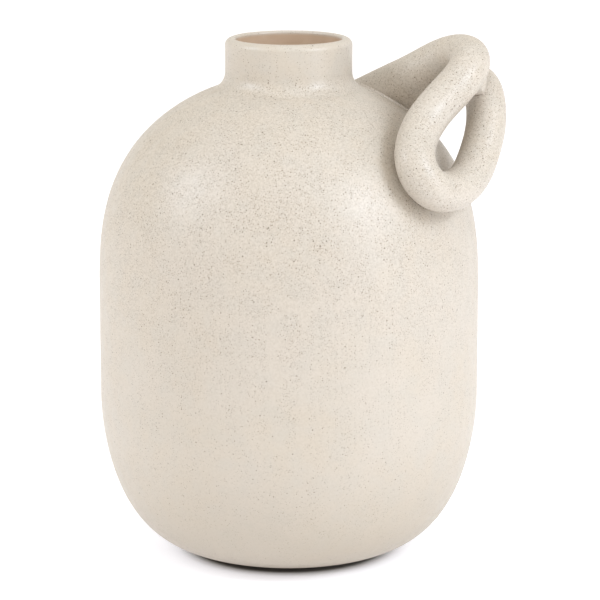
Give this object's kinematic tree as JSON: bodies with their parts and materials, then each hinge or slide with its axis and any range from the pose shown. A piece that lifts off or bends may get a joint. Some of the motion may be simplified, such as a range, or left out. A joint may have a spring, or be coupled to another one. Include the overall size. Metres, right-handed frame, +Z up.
{
  "type": "stoneware vase",
  "caption": "Stoneware vase: a rounded thrown body on a low foot ring, a short collar neck and a coiled clay handle that loops over itself on the shoulder.",
  "frame": {"origin": "centre of the foot ring's resting plane, on the body's axis", "axes": "+Z up along the body's axis, through the neck; +X towards the side that carries the handle; the loop of the handle leans towards -Y"},
  "size_m": [0.2779, 0.262, 0.3626],
  "materials": {
    "speckled_glaze": "cream satin glaze with fine brown iron speckles",
    "bare_stoneware": "unglazed, fired dark, wiped clean, matt",
    "joining_slip": "slip in the handle's joints under the same satin glaze"
  },
  "bodies": {
    "root": {"body": "speckled_glaze", "foot_ring": "bare_stoneware", "neck": "speckled_glaze", "handle_root_front": "speckled_glaze", "handle_coil": "speckled_glaze", "handle_root_rear": "speckled_glaze", "crossing_lute": "joining_slip", "loop_lute": "joining_slip"}
  },
  "joints": []
}
